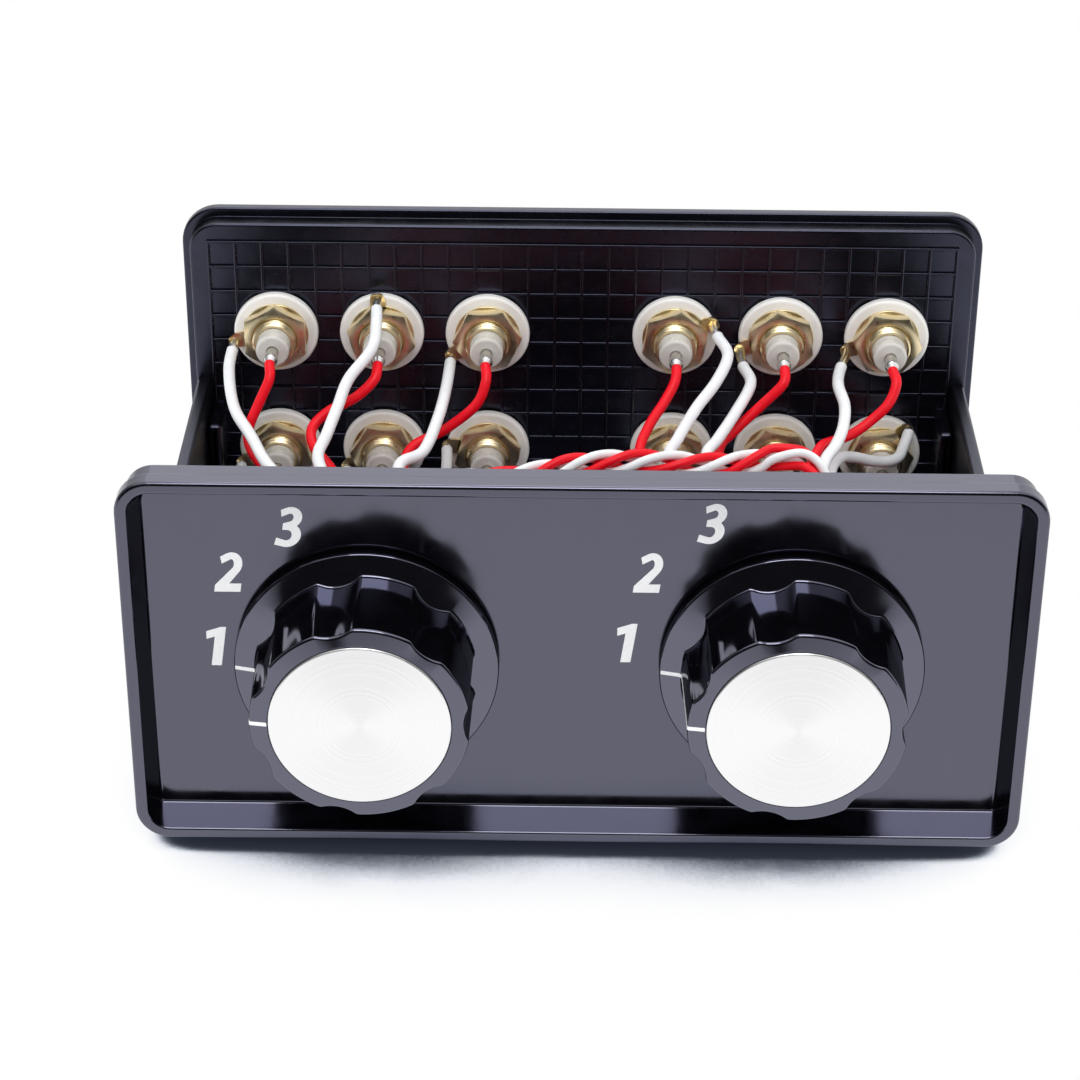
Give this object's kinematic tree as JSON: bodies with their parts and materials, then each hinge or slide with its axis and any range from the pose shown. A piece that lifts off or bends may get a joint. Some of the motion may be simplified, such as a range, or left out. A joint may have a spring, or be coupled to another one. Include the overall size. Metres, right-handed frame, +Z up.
{
  "type": "audio source selector",
  "caption": "Audio source selector with its cover off: skirted knobs on rotary switches in a recessed front panel, wired to rows of phono jacks in a ribbed rear panel.",
  "frame": {"origin": "on the table, at the middle of the part's box", "axes": "+X to the right and +Y to the rear as seen from the front, +Z up"},
  "size_m": [0.1324, 0.1164, 0.0638],
  "materials": {
    "black_abs": "moulded, half gloss",
    "knob_plastic": "moulded, glossy",
    "spun_aluminium": "spun, bright",
    "gilt_brass": "gilt, bright",
    "plain_brass": "turned",
    "tinned_brass": "tinned",
    "steel": "plated",
    "nylon": "natural nylon",
    "core_plastic": "milky",
    "ring_plastic": "moulded, one ring white and one red in each pair",
    "switch_plastic": "moulded",
    "phenolic": "laminated sheet",
    "foot_rubber": "soft, matte",
    "red_wire": "extruded insulation",
    "white_wire": "extruded insulation"
  },
  "bodies": {
    "chassis": {"front_panel": "black_abs", "rear_panel": "black_abs", "lower_shell": "black_abs", "rubber_feet": "foot_rubber", "jack_shells": "gilt_brass", "jack_rings": "ring_plastic", "jack_washers": "nylon", "ground_lugs": "gilt_brass", "jack_nuts": "gilt_brass", "jack_cores": "core_plastic", "jack_contacts": "tinned_brass", "left_signal_wires": "red_wire", "right_signal_wires": "red_wire", "link_signal_wires": "red_wire", "left_ground_wires": "white_wire", "right_ground_wires": "white_wire", "link_ground_wires": "white_wire", "left_switch_nut": "steel", "left_switch_washer": "steel", "left_switch_frame": "steel", "left_switch_housing": "switch_plastic", "left_switch_wafer": "phenolic", "left_terminals": "tinned_brass", "left_detent_ball": "steel", "left_detent_spring": "steel", "right_switch_nut": "steel", "right_switch_washer": "steel", "right_switch_frame": "steel", "right_switch_housing": "switch_plastic", "right_switch_wafer": "phenolic", "right_terminals": "tinned_brass", "right_detent_ball": "steel", "right_detent_spring": "steel"},
    "left_selector": {"left_knob": "knob_plastic", "left_knob_cap": "spun_aluminium", "left_knob_bush": "plain_brass", "left_set_screw": "steel", "left_switch_shaft": "steel", "left_switch_rotor": "nylon", "left_wipers": "plain_brass"},
    "right_selector": {"right_knob": "knob_plastic", "right_knob_cap": "spun_aluminium", "right_knob_bush": "plain_brass", "right_set_screw": "steel", "right_switch_shaft": "steel", "right_switch_rotor": "nylon", "right_wipers": "plain_brass"}
  },
  "joints": [
    {"name": "left_selector_turn", "type": "hinge", "parent": "chassis", "child": "left_selector", "pos_m": [-0.03065, -0.04605, 0.0308], "axis": [0, 1, 0], "range_deg": [0, 60]},
    {"name": "right_selector_turn", "type": "hinge", "parent": "chassis", "child": "right_selector", "pos_m": [0.03065, -0.04605, 0.0308], "axis": [0, 1, 0], "range_deg": [0, 60]}
  ]
}
